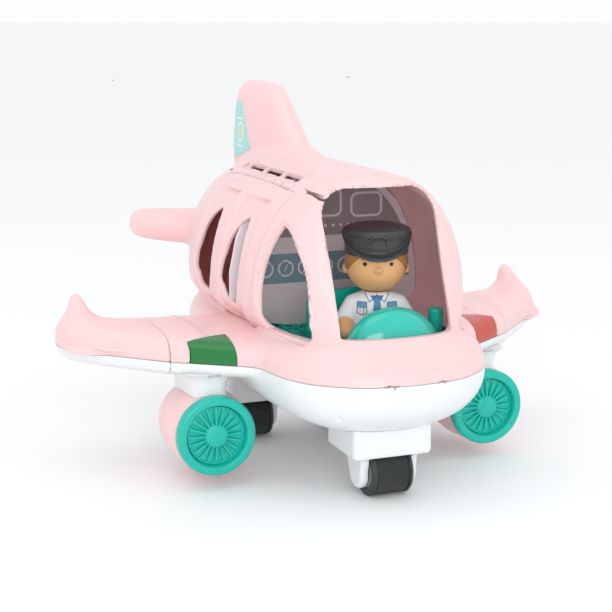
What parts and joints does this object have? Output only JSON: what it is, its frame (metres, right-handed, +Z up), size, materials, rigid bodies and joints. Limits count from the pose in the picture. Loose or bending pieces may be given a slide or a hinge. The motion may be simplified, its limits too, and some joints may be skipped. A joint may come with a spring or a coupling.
{
  "type": "toy airplane",
  "caption": "Chubby toy airplane with an open cockpit, a lift-up side door, rolling wheels, turbine-look engines and a lift-out pilot figure.",
  "frame": {"origin": "on the ground under the middle of the airplane's box", "axes": "+Z up, nose towards -Y, starboard wing (green lamp, side door) towards -X, port wing towards +X"},
  "size_m": [0.32, 0.302, 0.225],
  "materials": {
    "pink_body": "satin pale pink",
    "white_body": "satin white",
    "teal_trim": "glossy teal",
    "green_lens": "translucent green",
    "red_lens": "translucent red",
    "tyre": "matt black, ribbed",
    "grey_plastic": "matt dark grey",
    "steel": "bright zinc plate",
    "bulkhead_panel": "matt lavender grey",
    "led_clear": "clear",
    "cell_jacket": "printed sleeve with no lettering",
    "board": "green solder resist",
    "speaker_cone": "matt black",
    "figure_shirt": "satin, printed shirt",
    "figure_skin": "satin",
    "figure_cap": "satin charcoal"
  },
  "bodies": {
    "airframe": {"upper_shell": "pink_body", "lower_hull": "white_body", "tail_fin": "pink_body", "tailplane_starboard": "pink_body", "tailplane_port": "pink_body", "wing_tip_upper_starboard": "pink_body", "wing_tip_lower_starboard": "white_body", "nav_lens_starboard": "green_lens", "nav_led_starboard": "led_clear", "engine_pylon_starboard": "white_body", "engine_nacelle_starboard": "pink_body", "intake_ring_starboard": "teal_trim", "engine_fan_starboard": "teal_trim", "shell_screw_starboard": "steel", "main_starboard_gear_fork": "white_body", "main_starboard_axle": "steel", "wing_tip_upper_port": "pink_body", "wing_tip_lower_port": "white_body", "nav_lens_port": "red_lens", "nav_led_port": "led_clear", "engine_pylon_port": "white_body", "engine_nacelle_port": "pink_body", "intake_ring_port": "teal_trim", "engine_fan_port": "teal_trim", "shell_screw_port": "steel", "main_port_gear_fork": "white_body", "main_port_axle": "steel", "nose_gear_fork": "white_body", "nose_axle": "steel", "hinge_pin": "steel", "cabin_floor": "teal_trim", "bulkhead": "bulkhead_panel", "pilot_seat": "teal_trim", "passenger_seat_front": "teal_trim", "passenger_seat_rear": "teal_trim", "control_lever": "teal_trim", "battery_box": "white_body", "battery_cell_1": "cell_jacket", "battery_cell_2": "cell_jacket", "battery_cell_3": "cell_jacket", "circuit_board": "board", "speaker": "speaker_cone"},
    "door": {"side_door": "pink_body"},
    "nose_wheel": {"nose_tyre": "tyre", "nose_hub": "grey_plastic"},
    "main_wheel_starboard": {"main_starboard_tyre": "tyre", "main_starboard_hub": "grey_plastic"},
    "main_wheel_port": {"main_port_tyre": "tyre", "main_port_hub": "grey_plastic"},
    "button": {"sound_button": "teal_trim"},
    "switch": {"power_switch": "grey_plastic"},
    "cover": {"battery_cover": "white_body", "cover_screw": "steel"},
    "pilot": {"pilot_body": "figure_shirt", "pilot_head": "figure_skin", "pilot_cap": "figure_cap"}
  },
  "joints": [
    {"name": "door_hinge", "type": "hinge", "parent": "airframe", "child": "door", "pos_m": [-0.033, -0.003, 0.1688], "axis": [0, 1, 0], "range_deg": [0, 95]},
    {"name": "nose_wheel_roll", "type": "hinge", "parent": "airframe", "child": "nose_wheel", "pos_m": [0, -0.11, 0.014], "axis": [1, 0, 0], "continuous": true},
    {"name": "main_wheel_starboard_roll", "type": "hinge", "parent": "airframe", "child": "main_wheel_starboard", "pos_m": [-0.0335, 0.0276, 0.014], "axis": [1, 0, 0], "continuous": true},
    {"name": "main_wheel_port_roll", "type": "hinge", "parent": "airframe", "child": "main_wheel_port", "pos_m": [0.0335, 0.0276, 0.014], "axis": [1, 0, 0], "continuous": true},
    {"name": "button_press", "type": "slide", "parent": "airframe", "child": "button", "axis": [0, 0, -1], "range_m": [0, 0.002], "stiffness_N_per_m": 800, "springref_m": -0.001},
    {"name": "switch_slide", "type": "slide", "parent": "airframe", "child": "switch", "axis": [0, 1, 0], "range_m": [0, 0.005]},
    {"name": "cover_lift_off", "type": "slide", "parent": "airframe", "child": "cover", "axis": [0, 0, -1], "range_m": [0, 0.03]},
    {"name": "pilot_lift_out", "type": "slide", "parent": "airframe", "child": "pilot", "axis": [0, 0, 1], "range_m": [0, 0.014]}
  ]
}
